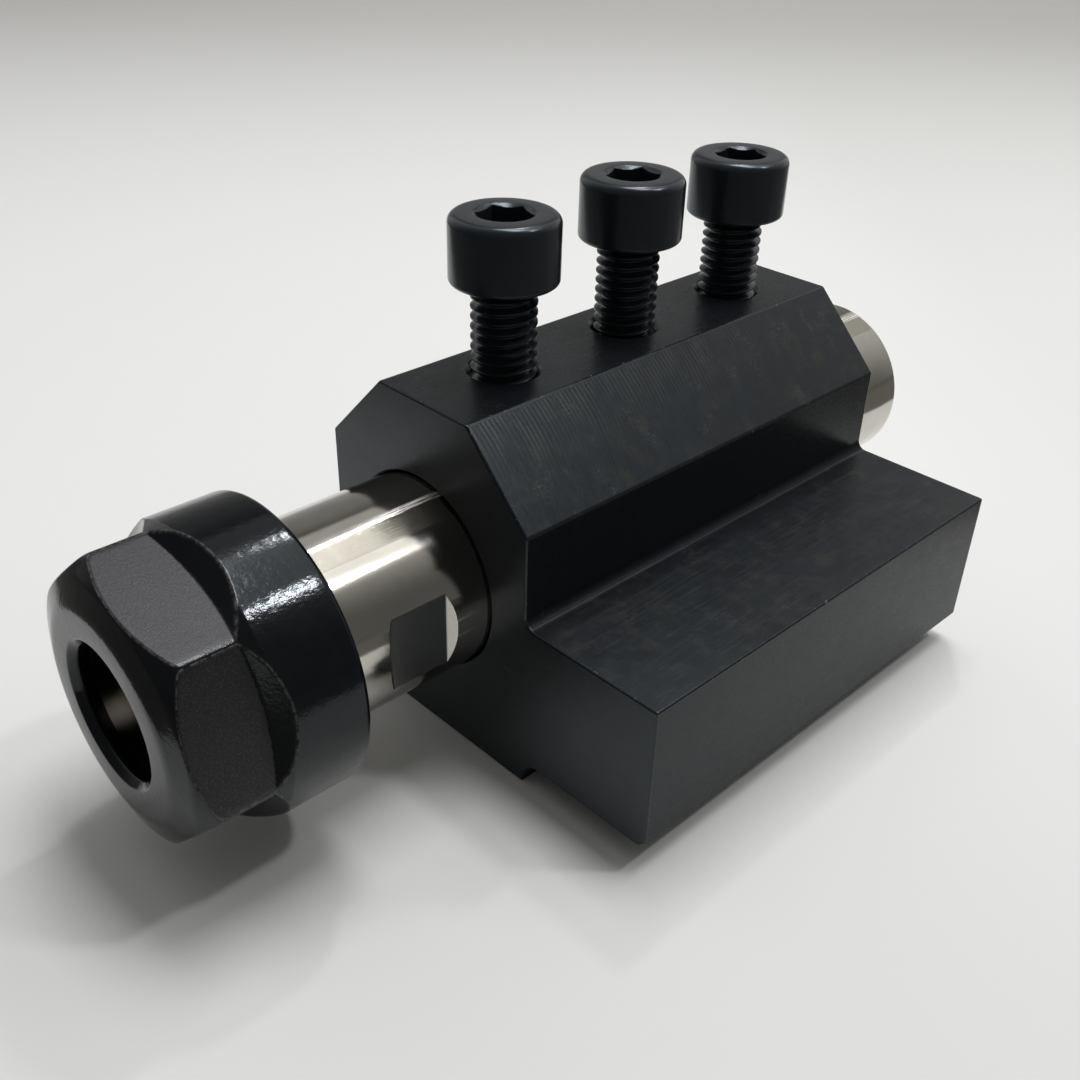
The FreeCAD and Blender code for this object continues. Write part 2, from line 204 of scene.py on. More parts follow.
def weight_normals(obj):
    """Keeps broad faces flat next to their small rounded edges."""
    obj.data.polygons.foreach_set("use_smooth", [True] * len(obj.data.polygons))
    obj.data.set_sharp_from_angle(angle=math.radians(30.0))
    normals = obj.modifiers.new("Normals", "WEIGHTED_NORMAL")
    normals.keep_sharp = True
    normals.weight = 100


# Block


def block_section():
    """Corners of the section, (x, z), from the base's left corner round to the left side."""
    left, right = AXIS_X - PLAIN_SIDE, AXIS_X + LEDGE_SIDE
    base, top = AXIS_Z - TO_BASE, AXIS_Z + TO_TOP
    outer = right + LEDGE_WIDTH
    return [
        (left, base), (right, base), (right, 0.0), (outer, 0.0), (outer, LEDGE_HEIGHT),
        (right, LEDGE_HEIGHT), (right, top - CORNER_CUT), (right - CORNER_CUT, top),
        (left + CORNER_CUT, top), (left, top - CORNER_CUT),
    ]


EDGE_KIND = 7


def make_block():
    """The block: the section drawn out, its edges broken, then bored and drilled."""
    build = bmesh.new()
    section = block_section()
    near, far = BLOCK_FRONT * MM, (BLOCK_FRONT + BLOCK_LENGTH) * MM
    front = [build.verts.new((x * MM, near, z * MM)) for x, z in section]
    rear = [build.verts.new((x * MM, far, z * MM)) for x, z in section]
    build.faces.new(front)
    build.faces.new(rear[::-1])
    count = len(section)
    for index in range(count):
        after = (index + 1) % count
        build.faces.new((front[after], front[index], rear[index], rear[after]))
    bmesh.ops.recalc_face_normals(build, faces=build.faces)

    def long_edge(number):
        x, z = section[number]
        return [e for e in build.edges if all(
            abs(v.co.x - x * MM) < 1e-6 and abs(v.co.z - z * MM) < 1e-6 for v in e.verts)]

    def rounded_edge(number, size, segments):
        bmesh.ops.bevel(build, geom=long_edge(number), offset=size * MM, segments=segments,
                        profile=0.5, affect="EDGES", clamp_overlap=False)

    rounded_edge(5, ROOT_RADIUS, 8)
    rounded_edge(2, RELIEF_RADIUS, 10)
    rounded_edge(3, LEDGE_CORNER, 1)
    edge_marks = [e for number in (0, 1, 4, 6, 7, 8, 9) for e in long_edge(number)]
    ends = [e for e in build.edges if abs(e.verts[0].co.y - e.verts[1].co.y) < 1e-7]
    result = bmesh.ops.bevel(build, geom=edge_marks + ends, offset=EDGE_BREAK * 0.75 * MM, segments=3,
                             profile=0.5, affect="EDGES", clamp_overlap=False)
    for face in build.faces:
        face.material_index = 0
    for face in result["faces"]:
        face.material_index = EDGE_KIND
    bmesh.ops.recalc_face_normals(build, faces=build.faces)
    mesh = bpy.data.meshes.new("tool_block")
    build.to_mesh(mesh)
    build.free()
    obj = bpy.data.objects.new("tool_block", mesh)
    bpy.context.scene.collection.objects.link(obj)
    return obj


def bore_cutter():
    """The bore with its lead at both ends, reaching past the block's faces."""
    past = 2
    flare = BORE_LEAD + past
    profile = softened([
        (0.0, -past, 0), (BORE_RADIUS + flare, -past, 0), (BORE_RADIUS, BORE_LEAD, 0.5),
        (BORE_RADIUS, BLOCK_LENGTH - BORE_LEAD, 0.5), (BORE_RADIUS + flare, BLOCK_LENGTH + past, 0),
        (0.0, BLOCK_LENGTH + past, 0),
    ])
    return turned_along_y("cutter", BLOCK_FRONT, profile, 180)


def hole_cutter(y):
    """A drilled and countersunk hole from the block's top into its bore."""
    columns = SCREW_COLUMNS
    top = AXIS_Z + TO_TOP
    flare = HOLE_LEAD + 1
    profile = softened([
        (0.0, AXIS_Z + 4, 0), (SCREW_HOLE_RADIUS, AXIS_Z + 4, 0), (SCREW_HOLE_RADIUS, top - HOLE_LEAD, 0.3),
        (SCREW_HOLE_RADIUS + flare, top + 1, 0), (0.0, top + 1, 0),
    ])
    radius, angle = np.meshgrid(profile[:, 0], np.arange(columns) * 2 * np.pi / columns, indexing="ij")
    height = np.repeat(profile[:, 1][:, None], columns, axis=1)
    points = np.stack([AXIS_X + radius * np.cos(angle), y + radius * np.sin(angle), height], -1)
    return new_mesh("cutter", points.reshape(-1, 3).tolist(), grid_faces(len(profile), columns).tolist())


block = make_block()
cut_away(block, bore_cutter())
for screw_y in SCREW_Y:
    cut_away(block, hole_cutter(screw_y))
weight_normals(block)

# Faces of the block by the way they look: 0 end, 1 top, 2 cut corner, 3 ledge top, 4 side,
# 5 base, 6 bore and holes, 7 broken edge, 8 root of the ledge
for face in block.data.polygons:
    if face.material_index == EDGE_KIND:
        continue
    n, c = face.normal, face.center / MM
    from_axis = math.hypot(c.x - AXIS_X, c.z - AXIS_Z)
    if abs(n.y) > 0.99:
        face.material_index = 0
    elif from_axis < BORE_RADIUS + 1.0 or (abs(c.x - AXIS_X) < 4.9 and n.z < 0.99 and c.z > AXIS_Z):
        face.material_index = 6
    elif n.z > 0.99 and c.z > LEDGE_HEIGHT + 1:
        face.material_index = 1
    elif abs(abs(n.x) - abs(n.z)) < 0.01 and c.z > LEDGE_HEIGHT + 5:
        face.material_index = 2
    elif n.z > 0.95:
        face.material_index = 3
    elif n.z > 0.05:
        face.material_index = 8
    elif n.z < -0.3:
        face.material_index = 5
    else:
        face.material_index = 4


# Clamp screws


def make_screw(name, y, tip_z, turn):
    """A socket cap screw in one skin: tip, helical thread, neck, head and hexagon socket."""
    columns, per_turn = SCREW_COLUMNS, 8
    start, end = 0.0, NECK_START
    tip_slope, neck_slope, tip_centre = 0.9, 1.0, 0.4
    depth = CREST_RADIUS - ROOT_THREAD_RADIUS
    shape = (1.0, 1.0, 0.62, 0.18, 0.0, 0.0, 0.18, 0.62)
    column = np.arange(columns)
    angle = column * 2 * np.pi / columns + math.radians(turn)
    points, faces = [], []

    def ring_at(radius, height):
        first = len(points)
        for a, r in zip(angle, np.broadcast_to(radius, columns)):
            points.append((AXIS_X + r * math.cos(a), y + r * math.sin(a), tip_z + height))
        return list(range(first, first + columns))

    def join(lower, upper):
        for i in range(columns):
            j = (i + 1) % columns
            faces.append((lower[i], lower[j], upper[j], upper[i]))

    rows = []
    for k in range(-per_turn - 2, math.ceil(end / PITCH) * per_turn + 3):
        row = []
        for i in range(columns):
            height = PITCH * (k / per_turn + i / columns)
            held = min(max(height, start), end)
            radius = ROOT_THREAD_RADIUS + depth * shape[k % per_turn]
            radius = min(radius, TIP_RADIUS + (held - start) * tip_slope)
            least = ROOT_THREAD_RADIUS if held > 1 else 0
            radius = max(min(radius, NECK_RADIUS + (end - held) * neck_slope), least)
            if height >= end:
                radius = NECK_RADIUS
            elif height <= start:
                radius = TIP_RADIUS
            row.append(len(points))
            points.append((AXIS_X + radius * math.cos(angle[i]), y + radius * math.sin(angle[i]),
                           tip_z + held))
        rows.append(row)
    for number in range(len(rows) - 1):
        lower, upper = rows[number], rows[number + 1]
        for i in range(columns - 1):
            faces.append((lower[i], lower[i + 1], upper[i + 1], upper[i]))
        if number + 1 + per_turn < len(rows):
            faces.append((lower[-1], rows[number + per_turn][0], rows[number + 1 + per_turn][0], upper[-1]))

    tip = ring_at(TIP_RADIUS, start)
    inner = ring_at(tip_centre, start)
    join(inner, tip)
    faces.append(tuple(inner[::-1]))

    top = SCREW_LENGTH + HEAD_HEIGHT
    outside = softened([
        (NECK_RADIUS, end, 0), (NECK_RADIUS, SCREW_LENGTH, 0.3), (HEAD_RADIUS, SCREW_LENGTH, 0.55),
        (HEAD_RADIUS, top, 1.1), (KEY_MOUTH_RADIUS, top, 0.25), (KEY_MOUTH_RADIUS - 1.2, top - 0.7, 0),
    ], turn=10.0)[:-1]
    previous = None
    for radius, height in outside:
        ring = ring_at(radius, height)
        if previous:
            join(previous, ring)
        previous = ring
    local = angle - math.radians(turn)
    wall = KEY_SIZE / 2 / np.cos((local + math.pi / 6) % (math.pi / 3) - math.pi / 6)
    slope = math.tan(math.radians(KEY_MOUTH_SLOPE))
    for down in (0.12, 0.2, 0.28, 0.36, 0.44, 0.6, KEY_DEPTH):
        cone = KEY_MOUTH_RADIUS - down / slope
        ring = ring_at(smooth_max(np.full(columns, cone), wall, 0.06), top - down)
        join(previous, ring)
        previous = ring
    for share, down in ((0.93, KEY_DEPTH + 0.12), (0.5, KEY_DEPTH + 0.5), (0.05, KEY_DEPTH + 0.9)):
        ring = ring_at(KEY_SIZE / 2 * share, top - down)
        join(previous, ring)
        previous = ring
    faces.append(tuple(previous))
    return new_mesh(name, points, faces, keep_flat=38.0)


screws = [make_screw(f"cap_screw_{name}", y, tip_z, turn)
          for name, y, tip_z, turn in zip(SCREW_NAMES, SCREW_Y, SCREW_TIP_Z, SCREW_TURNS)]


# Nut


def flat_limit(along, angle):
    """Radius that the six face-cut flats leave, and the height above the flat's own plane."""
    away = (angle - math.radians(FLAT_PHASE) + math.pi / 6) % (math.pi / 3) - math.pi / 6
    tangent = math.tan(math.radians(SHOULDER_ANGLE))
    cutter_y = -(FLAT_BACK + CUTTER_RADIUS)
    reach = FLAT_HEIGHT / np.cos(away)
    for _ in range(6):
        from_cutter = np.hypot(reach * np.sin(away), along - cutter_y)
        rise = smooth_max((from_cutter - CUTTER_RADIUS) / tangent, np.zeros_like(reach), 0.25)
        reach = (FLAT_HEIGHT + rise) / np.cos(away)
    return reach, rise


def nut_shape(radius, along, angle):
    limit, rise = flat_limit(along, angle)
    blend = 0.35 - 0.23 * np.clip(rise / 0.3, 0, 1)
    return np.where(radius > FLATS_OUTSIDE, smooth_min(radius, limit, blend), radius)


def nut_edge_wear_and_highlight(radius, along, angle):
    """1 on the edges that the flats and their shoulders leave, 0 elsewhere."""
    gap = radius - flat_limit(along, angle)[0]
    step = np.hypot(np.gradient(radius, axis=0), np.gradient(along, axis=0))
    lengthwise = np.gradient(gap, axis=0) / np.maximum(step, 1e-3)
    round_step = 4 * np.pi / radius.shape[1] * radius
    crosswise = (np.roll(gap, -1, axis=1) - np.roll(gap, 1, axis=1)) / round_step
    slope = np.hypot(lengthwise, crosswise)
    away = np.abs(gap) / np.maximum(slope, 0.05)
    edge_width, least_slope = 0.11, 0.15
    real = np.clip((slope - least_slope) / least_slope, 0, 1)
    return np.where(radius > FLATS_OUTSIDE, np.exp(-(away / edge_width) ** 2) * real, 0.0)


def nut_kind(radius, along, angle, cut):
    """0 turned skin and slanting shoulders, 1 flat, 2 opening and inside, 3 the collet's seat cone."""
    limit, rise = flat_limit(along, angle)
    kind = np.zeros(radius.shape)
    kind[(radius > FLATS_OUTSIDE) & (limit < radius - 0.05) & (rise < 0.08)] = 1
    behind_face = (radius < COUNTERBORE + 0.1) & (along > -NUT_LENGTH + 1.0)
    kind[(radius < OPENING_RADIUS + 0.5) | behind_face] = 2
    on_cone = (radius > OPENING_RADIUS + 0.02) & (radius < GROOVE_RADIUS + 0.1)
    kind[on_cone & (along > 1.35 - NUT_LENGTH)] = 3
    return kind


def make_nut():
    front = -NUT_LENGTH
    slope = math.tan(math.radians(NUT_CONE_ANGLE))
    cone_end = front + OPENING_CUT + OPENING_LAND
    cone_start = cone_end + (GROOVE_RADIUS - OPENING_RADIUS) / slope
    profile = softened([
        (COUNTERBORE, 0.0, 0.3),
        (NUT_RADIUS, 0.0, 0.8),
        (NUT_RADIUS, -SKIRT_LENGTH + CRESCENT_REACH, 0),
        (NUT_RADIUS, -SKIRT_LENGTH, 0.8),
        (RIDGE_RADIUS, -SKIRT_LENGTH - SKIRT_SLOPE, 0.8),
        (RIDGE_RADIUS, front + NOSE_CONE, 1.2),
        (NUT_SHOULDER, front + FACE_DROP, 2.5),
        (FACE_RADIUS, front, 4.0),
        (OPENING_RADIUS + OPENING_CUT, front, 0.5),
        (OPENING_RADIUS, front + OPENING_CUT, 0.5),
        (OPENING_RADIUS, cone_end, 0.2),
        (GROOVE_RADIUS, cone_start, 0.2),
        (GROOVE_RADIUS, GROOVE_START, 0),
        (THREAD_BORE, GROOVE_START, 0.2),
        (THREAD_BORE, -COUNTERBORE_DEPTH, 0.2),
        (COUNTERBORE, -COUNTERBORE_DEPTH, 0.1),
    ], turn=9.0)

    def longest(point):
        radius, along = point
        if radius < COUNTERBORE + 0.2:
            return INSIDE_ROW
        return FINE_ROW if along < -SKIRT_LENGTH + CRESCENT_REACH else SKIRT_ROW

    return turned_along_y("collet_nut", NUT_BACK, divided(profile, longest), NUT_COLUMNS, nut_shape,
                          nut_kind, 180.0, nut_edge_wear_and_highlight)


nut = make_nut()


# Collet chuck


def chuck_limits(along, angle):
    """Radii that the clamping flat and the two wrench flats leave."""
    away = (angle - math.radians(CLAMP_FLAT_ANGLE) + math.pi) % (2 * math.pi) - math.pi
    height = math.sqrt(SHANK_RADIUS ** 2 - CLAMP_FLAT_HALF ** 2)
    clamp = np.where(np.abs(away) < 0.6, height / np.cos(np.clip(away, -0.6, 0.6)), NO_LIMIT)
    clamp = np.where(along > THREAD_END, clamp, NO_LIMIT)
    side = (angle + math.pi / 2) % math.pi - math.pi / 2
    beyond = np.maximum(WRENCH_START - along, along - (WRENCH_START + WRENCH_LENGTH))
    wrench = (WRENCH_HEIGHT + np.maximum(beyond, 0)) / np.cos(np.clip(side, -1.0, 1.0))
    wrench = np.where(np.abs(side) < 1.0, wrench, NO_LIMIT)
    return clamp, wrench, beyond


def chuck_shape(radius, along, angle):
    clamp, wrench, _ = chuck_limits(along, angle)
    cut = smooth_min(smooth_min(radius, clamp, 0.04), wrench, 0.05)
    return np.where((radius > 12.0) & (along > THREAD_END - 0.1), cut, radius)


def chuck_kind(radius, along, angle, cut):
    """0 ground shank, 1 clamping flat, 2 wrench flat, 3 socket and bore, 4 wrench flat's end walls."""
    clamp, wrench, beyond = chuck_limits(along, angle)
    kind = np.zeros(radius.shape)
    outside = (radius > 12.0) & (along > THREAD_END - 0.1)
    kind[outside & (clamp < radius - 0.002)] = 1
    kind[outside & (wrench < radius - 0.002) & (beyond <= 0.01)] = 2
    kind[outside & (wrench < radius - 0.002) & (beyond > 0.01)] = 4
    kind[radius < 10.8] = 3
    return kind


def make_chuck():
    mouth = SOCKET_MOUTH
    small = mouth - SOCKET_DEPTH * math.tan(math.radians(SOCKET_ANGLE))
    profile = softened([
        (mouth, 0.0, 0.15),
        (NOSE_THREAD_RADIUS - 0.8, 0.0, 0.1),
        (NOSE_THREAD_RADIUS, 0.8, 0.1),
        (NOSE_THREAD_RADIUS, THREAD_END - 1.5, 0),
        (NOSE_THREAD_RADIUS - 0.8, THREAD_END - 1.5, 0),
        (NOSE_THREAD_RADIUS - 0.8, THREAD_END, 0),
        (SHANK_RADIUS, THREAD_END, 0.05),
        (SHANK_RADIUS, CHUCK_LENGTH - 1.0, 0.25),
        (SHANK_RADIUS - 1.0, CHUCK_LENGTH, 0.25),
        (THROUGH_RADIUS + 0.8, CHUCK_LENGTH, 0.15),
        (THROUGH_RADIUS, CHUCK_LENGTH - 0.8, 0.15),
        (THROUGH_RADIUS, SOCKET_DEPTH, 0),
        (small, SOCKET_DEPTH, 0.3),
    ], turn=15.0)
    profile = list(map(tuple, divided(profile, lambda point: 4.0)))
    rows = []
    wrench_end = WRENCH_START + WRENCH_LENGTH
    marks = [WRENCH_START - 1.0, WRENCH_START, wrench_end, wrench_end + 1.0]
    extra = sorted(set(np.round(np.concatenate([
        np.arange(marks[0], marks[1], 0.08), [marks[1], marks[1] + 0.02],
        np.arange(marks[1] + 0.5, marks[2], 0.7), [marks[2] - 0.02, marks[2]],
        np.arange(marks[2] + 0.08, marks[3], 0.08)]), 4)))
    placed = False
    for index, (radius, along) in enumerate(profile):
        after = profile[(index + 1) % len(profile)]
        inside_marks = radius > 12.4 and marks[0] - 0.2 < along < marks[3] + 0.2
        if not inside_marks:
            rows.append((radius, along))
        if radius > 12.4 and after[1] > marks[0] - 0.2 and not placed and along > THREAD_END - 0.5:
            rows.extend((SHANK_RADIUS, float(value)) for value in extra)
            placed = True
    return turned_along_y("collet_chuck", NOSE_Y, np.array(rows), CHUCK_COLUMNS, chuck_shape, chuck_kind, 25.0)


chuck = make_chuck()


# Materials


class Nodes:
    """Small helper that adds nodes to one material and links them."""

    def __init__(self, name):
        self.material = bpy.data.materials.new(name)
        self.material.use_nodes = True
        self.tree = self.material.node_tree
        self.tree.nodes.clear()
        self.output = self.add("ShaderNodeOutputMaterial")
        self.shader = self.add("ShaderNodeBsdfPrincipled")
        self.link(self.shader.outputs[0], self.output.inputs["Surface"])
        place = self.add("ShaderNodeTexCoord").outputs["Object"]
        self.place = self.scaled(place, (1000, 1000, 1000))

    def add(self, kind, **settings):
        node = self.tree.nodes.new(kind)
        for key, value in settings.items():
            setattr(node, key, value)
        return node

    def link(self, source, target):
        self.tree.links.new(source, target)

    def put(self, socket, value):
        if isinstance(value, bpy.types.NodeSocket):
            self.link(value, socket)
        else:
            socket.default_value = value

    def scaled(self, vector, scale):
        node = self.add("ShaderNodeVectorMath", operation="MULTIPLY")
        self.link(vector, node.inputs[0])
        node.inputs[1].default_value = scale
        return node.outputs[0]

    def shifted(self, vector, offset):
        node = self.add("ShaderNodeVectorMath", operation="ADD")
        self.link(vector, node.inputs[0])
        node.inputs[1].default_value = offset
        return node.outputs[0]

    def math(self, operation, a, b=0.0):
        node = self.add("ShaderNodeMath", operation=operation)
        self.put(node.inputs[0], a)
        self.put(node.inputs[1], b)
        return node.outputs[0]

    def noise(self, vector, scale=1.0, detail=3.0, rough=0.55, distortion=0.0):
        node = self.add("ShaderNodeTexNoise")
        self.link(vector, node.inputs["Vector"])
        node.inputs["Scale"].default_value = scale
        node.inputs["Detail"].default_value = detail
        node.inputs["Roughness"].default_value = rough
        node.inputs["Distortion"].default_value = distortion
        return node.outputs["Fac"]

    def step(self, value, low, high):
        """0 below low, 1 above high, smooth between."""
        node = self.add("ShaderNodeMapRange", interpolation_type="SMOOTHSTEP")
        self.put(node.inputs["Value"], value)
        node.inputs["From Min"].default_value = low
        node.inputs["From Max"].default_value = high
        return node.outputs["Result"]

    def between(self, value, low, high):
        node = self.add("ShaderNodeMapRange")
        self.put(node.inputs["Value"], value)
        node.inputs["To Min"].default_value = low
        node.inputs["To Max"].default_value = high
        return node.outputs["Result"]

    def mix(self, factor, a, b):
        node = self.add("ShaderNodeMix", data_type="RGBA")
        self.put(node.inputs[0], factor)
        for socket, value in ((node.inputs[6], a), (node.inputs[7], b)):
            self.put(socket, value if isinstance(value, bpy.types.NodeSocket) else (*value, 1.0))
        return node.outputs[2]

    def bump(self, height, distance, below=None):
        node = self.add("ShaderNodeBump")
        self.put(node.inputs["Height"], height)
        node.inputs["Distance"].default_value = distance * MM
        node.inputs["Strength"].default_value = 1.0
        if below is not None:
            self.link(below, node.inputs["Normal"])
        return node.outputs["Normal"]

    def axes(self, vector=None):
        node = self.add("ShaderNodeSeparateXYZ")
        self.link(vector or self.place, node.inputs[0])
        return node.outputs

    def together(self, x, y, z):
        node = self.add("ShaderNodeCombineXYZ")
        for socket, value in zip(node.inputs, (x, y, z)):
            self.put(socket, value)
        return node.outputs[0]

    def edge_wear_and_highlight(self):
        """How near the surface is to an edge of the nut's flats, where wear and a painted edge highlight lie,
        as kept on the mesh.
        """
        node = self.add("ShaderNodeAttribute", attribute_type="GEOMETRY", attribute_name="edge_wear_and_highlight")
        return node.outputs["Fac"]

    def around_bore(self):
        """Distance from the bore's axis, angle round it in radians, and place along it."""
        x, y, z = self.axes(self.shifted(self.place, (-AXIS_X, 0, -AXIS_Z)))
        squares = self.math("ADD", self.math("MULTIPLY", x, x), self.math("MULTIPLY", z, z))
        radius = self.math("SQRT", squares)
        return radius, self.math("ARCTAN2", z, x), y

    def finish(self, color, rough, normal, metallic=1.0, **constants):
        self.put(self.shader.inputs["Base Color"],
                 color if isinstance(color, bpy.types.NodeSocket) else (*color, 1.0))
        self.put(self.shader.inputs["Roughness"], rough)
        self.put(self.shader.inputs["Metallic"], metallic)
        if normal is not None:
            self.link(normal, self.shader.inputs["Normal"])
        for name, value in constants.items():
            self.shader.inputs[name].default_value = value
        return self.material


# The oxide's reflections, a little cooler than the light
OXIDE_TINT = (0.78, 0.92, 1.0, 1.0)
OILED_TINT = (0.87, 0.95, 1.0, 1.0)
FLAT_TINT = (0.96, 0.95, 1.0, 1.0)
OXIDE = (0.0075, 0.0080, 0.0095)
OXIDE_DARK = (0.0040, 0.0044, 0.0055)
OXIDE_BROWN = (0.0240, 0.0215, 0.0130)
OXIDE_BLUE = (0.0070, 0.0085, 0.0125)
BARE_STEEL = (0.42, 0.40, 0.37)


def rubbed_and_highlit_edges(n, color, strength):
    """Light steel colour in broken lines along the edges of the nut's flats: partly bare steel from wear,
    partly a painted edge highlight.
    """
    broken = n.between(n.step(n.noise(n.place, 1.6, 4, 0.7), 0.40, 0.62), 0.12, 1.0)
    # Partly edge wear, partly a painted highlight along the edges.
    bare = n.math("MULTIPLY", n.math("MULTIPLY", n.edge_wear_and_highlight(), broken), strength)
    return n.mix(bare, color, (0.30, 0.29, 0.27))


def oxide(name, lay=(1, 1, 1), lay_depth=0.0, mottle=0.3, rough=(0.22, 0.34), scratches=0.15,
          base=OXIDE, nicks=0.0, stains=0.0, grain_depth=0.006, mill=None, streaks=0.0, edges=0.0,
          shine=0.48, speckle=0.0, tint=OXIDE_TINT):
    """Black oxide on machined steel. lay stretches the tool marks, mill adds the rows of a cutter, with a
    painted highlight on their crests.
    """
    n = Nodes(name)
    broad = n.noise(n.place, 0.09, 4, 0.6, 0.4)
    patch = n.noise(n.place, 0.35, 5, 0.65, 0.3)
    grain = n.noise(n.place, 3.2, 4, 0.7)
    streak = n.noise(n.scaled(n.place, lay), 1.0, 5, 0.62)
    speck = n.noise(n.place, 5.0, 3, 0.6)

    color = n.mix(n.math("MULTIPLY", n.step(patch, 0.48, 0.72), mottle), base, OXIDE_BROWN)
    color = n.mix(n.math("MULTIPLY", n.step(broad, 0.42, 0.62), 0.5), color, OXIDE_BLUE)
    color = n.mix(n.math("MULTIPLY", n.step(grain, 0.55, 0.8), 0.35), color, OXIDE_DARK)
    specks = n.math("MULTIPLY", n.step(speck, 0.66, 0.74), 0.5 * mottle + 0.04)
    color = n.mix(specks, color, (0.10, 0.09, 0.065))
    if streaks:
        color = n.mix(n.math("MULTIPLY", n.step(streak, 0.55, 0.75), streaks), color, (0.035, 0.033, 0.026))
    if stains:
        spots = n.noise(n.shifted(n.place, (3.1, 0, 7.7)), 0.42, 2, 0.4, 0.8)
        high = n.step(n.math("SUBTRACT", n.axes()[2], n.axes()[0]), 52.0, 66.0)
        spots = n.math("MULTIPLY", n.step(spots, 0.58, 0.68), n.math("MULTIPLY", high, stains))
        color = n.mix(spots, color, (0.0015, 0.0015, 0.004))

    line = n.noise(n.scaled(n.place, (0.5, 0.14, 0.5)), 1.6, 6, 0.75, 1.6)
    scratch = n.step(n.math("ABSOLUTE", n.math("SUBTRACT", line, 0.5)), 0.006, 0.0)
    where = n.step(n.noise(n.shifted(n.place, (11, 5, 3)), 0.25, 2), 0.55, 0.7)
    scratch = n.math("MULTIPLY", n.math("MULTIPLY", scratch, where), scratches)
    color = n.mix(scratch, color, BARE_STEEL)

    if nicks:
        chips = n.noise(n.shifted(n.place, (2, 9, 4)), 0.9, 5, 0.85)
        bare = n.math("MULTIPLY", n.step(chips, 0.60, 0.72), nicks)
        color = n.mix(bare, color, BARE_STEEL)
    if edges:
        color = rubbed_and_highlit_edges(n, color, edges)
    if speckle:
        dots = n.noise(n.shifted(n.place, (5, 1, 8)), 5.0, 3, 0.6)
        color = n.mix(n.math("MULTIPLY", n.step(dots, 0.50, 0.66), speckle), color, (0.070, 0.068, 0.074))
        color = n.mix(n.math("MULTIPLY", n.step(dots, 0.46, 0.32), speckle), color, (0.002, 0.002, 0.003))

    value = n.math("ADD", n.math("MULTIPLY", streak, 0.6), n.math("MULTIPLY", patch, 0.4))
    roughness = n.between(value, rough[0] - 0.1, rough[1] + 0.1)

    normal = n.bump(grain, grain_depth)
    if lay_depth:
        normal = n.bump(streak, lay_depth, normal)
    if mill:
        spacing, depth, radius, crest_light = mill
        x, y, z = n.axes(n.shifted(n.place, (-MILL_EDGE[0], 0, -MILL_EDGE[1])))
        down = n.math("MULTIPLY", n.math("SUBTRACT", x, z), math.sqrt(0.5))
        off = n.math("SUBTRACT", down, 4.0)
        bow = n.math("SQRT", n.math("SUBTRACT", radius * radius, n.math("MULTIPLY", off, off)))
        wobble = n.math("MULTIPLY", n.noise(n.scaled(n.place, (0.15, 1.0, 0.15)), 0.6, 3), 0.5)
        phase = n.math("ADD", n.math("SUBTRACT", y, bow), wobble)
        wave = n.math("SINE", n.math("MULTIPLY", phase, 2 * math.pi / spacing))
        near_edge = n.step(down, 9.0, 0.5)
        forward = n.step(y, 24.0, -6.0)
        uneven = n.step(n.noise(n.scaled(n.place, (0.3, 1.2, 0.3)), 0.5, 3), 0.3, 0.6)
        strong = n.math("MULTIPLY", n.between(near_edge, 0.10, 1.0), n.between(forward, 0.2, 1.0))
        strong = n.math("MULTIPLY", strong, n.between(uneven, 0.15, 1.0))
        normal = n.bump(n.math("MULTIPLY", wave, strong), depth, normal)
        # Painted highlight: the crests of the cutter's rows are painted lighter, as if they caught the light.
        crest_highlight = n.math("MULTIPLY", n.math("MULTIPLY", n.step(wave, 0.35, 0.95), strong), crest_light)
        color = n.mix(crest_highlight, color, (0.07, 0.066, 0.052))
    return n.finish(color, roughness, normal, 0.0, **{"Specular IOR Level": shine, "Specular Tint": tint})


def turned_oxide(name, rough=0.11, ring_depth=0.003, base=OXIDE_DARK, grain_depth=0.0015, edges=0.4,
                 ripple_depth=0.028):
    """Smooth, oiled black oxide with faint turning rings about the bore."""
    n = Nodes(name)
    radius, angle, along = n.around_bore()
    rings = n.noise(n.together(n.math("MULTIPLY", radius, 4.0), n.math("MULTIPLY", along, 4.0),
                               n.math("MULTIPLY", angle, 2.5)), 1.0, 4, 0.65)
    cloud = n.noise(n.place, 0.25, 4, 0.6, 0.5)
    grain = n.noise(n.place, 6.0, 3, 0.6)
    color = n.mix(n.math("MULTIPLY", n.step(cloud, 0.4, 0.7), 0.35), base, OXIDE_BLUE)
    color = n.mix(n.math("MULTIPLY", n.step(grain, 0.62, 0.8), 0.15), color, (0.03, 0.029, 0.026))
    roughness = n.between(n.math("ADD", n.math("MULTIPLY", cloud, 0.3), n.math("MULTIPLY", rings, 0.7)),
                          rough - 0.04, rough + 0.06)
    if edges:
        color = rubbed_and_highlit_edges(n, color, edges)
    ripple = n.noise(n.scaled(n.place, (1.0, 0.7, 1.0)), 1.3, 3, 0.6)
    normal = n.bump(rings, ring_depth)
    normal = n.bump(ripple, ripple_depth, normal)
    normal = n.bump(grain, grain_depth, normal)
    return n.finish(color, roughness, normal, 0.0, **{"Specular IOR Level": 0.34, "Specular Tint": OILED_TINT})


